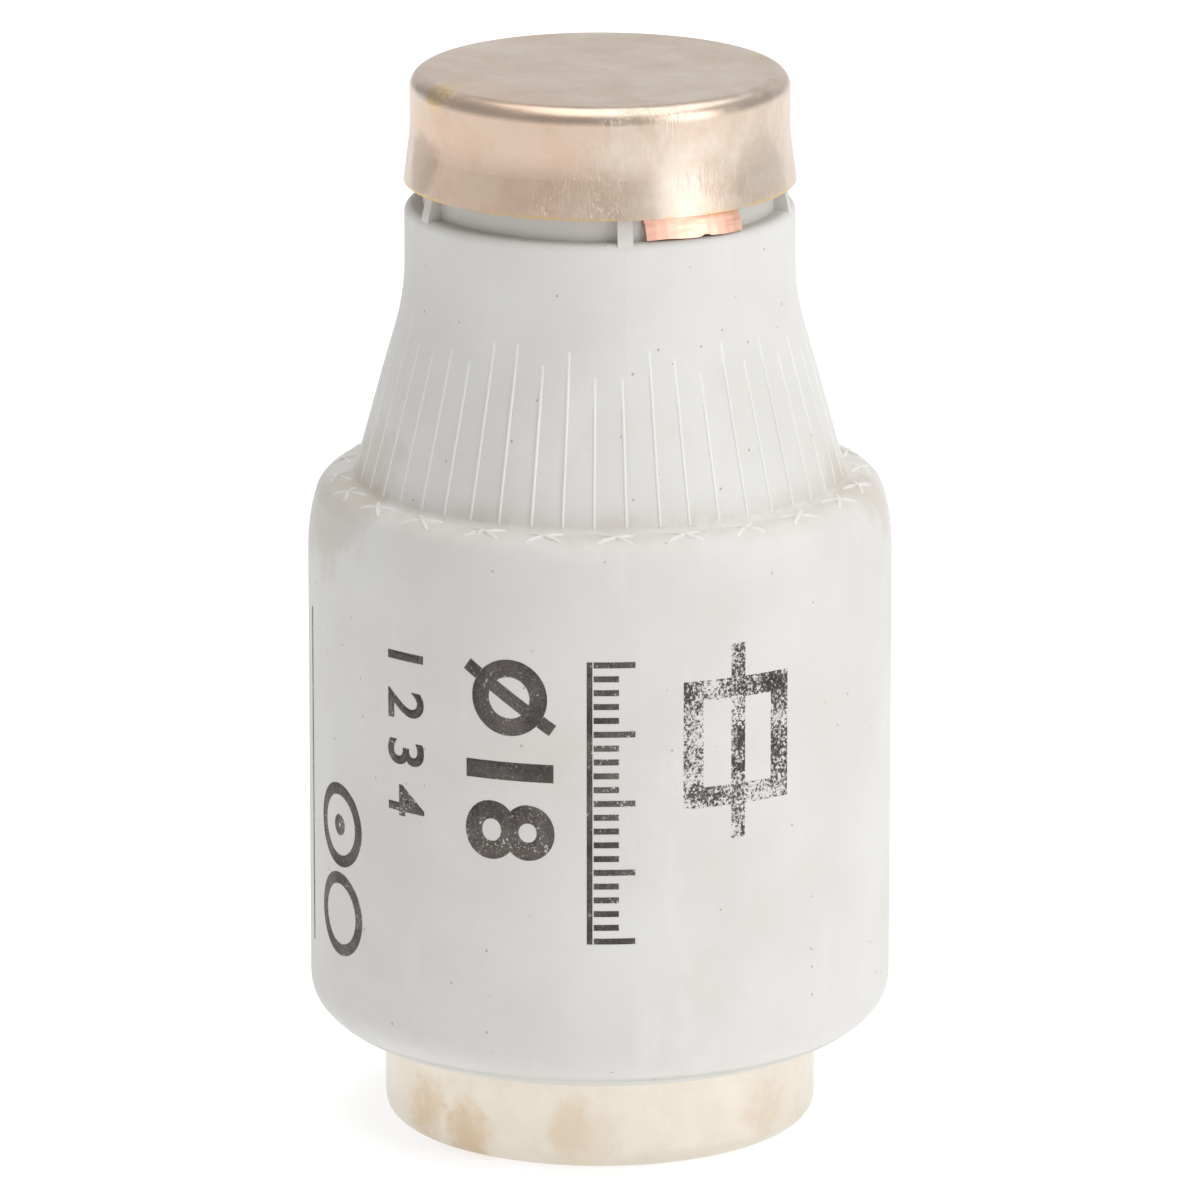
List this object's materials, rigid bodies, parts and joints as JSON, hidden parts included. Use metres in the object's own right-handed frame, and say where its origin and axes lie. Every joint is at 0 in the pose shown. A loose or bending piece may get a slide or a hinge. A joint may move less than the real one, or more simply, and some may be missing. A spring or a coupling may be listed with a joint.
{
  "type": "cartridge fuse",
  "caption": "Bottle-shaped ceramic cartridge fuse with metal contact caps at both ends, sand filling, copper fuse elements and a sprung blown-fuse indicator.",
  "frame": {"origin": "centre of the head contact's outer face, on which the fuse stands", "axes": "+Z along the fuse's axis towards the foot contact; the printed side and the strip tail that shows face -Y"},
  "size_m": [0.0272, 0.0272, 0.05],
  "materials": {
    "porcelain": "unglazed satin porcelain",
    "plated_cap_metal": "dull nickel plate over brass, scratched",
    "element_copper": "bright rolled copper",
    "pressed_board": "pressed fibre board",
    "quartz_sand": "packed quartz grains",
    "cup_brass": "plain drawn brass",
    "indicator_enamel": "white enamel",
    "spring_steel": "bright drawn wire",
    "indicator_wire": "fine drawn resistance wire",
    "marking_ink": "worn stamped ink"
  },
  "bodies": {
    "root": {"ceramic_body": "porcelain", "foot_contact_cap": "plated_cap_metal", "head_contact_cap": "plated_cap_metal", "fuse_element_front": "element_copper", "fuse_element_rear": "element_copper", "foot_sealing_disc": "pressed_board", "head_sealing_disc": "pressed_board", "quartz_sand": "quartz_sand", "indicator_cup": "cup_brass", "indicator_spring": "spring_steel", "indicator_wire": "indicator_wire"},
    "indicator": {"indicator_disc": "indicator_enamel", "indicator_wire_end": "indicator_wire"}
  },
  "joints": [
    {"name": "indicator_slide", "type": "slide", "parent": "root", "child": "indicator", "axis": [0, 0, -1], "range_m": [0, 0.0022], "deforming": ["indicator_spring"]}
  ]
}
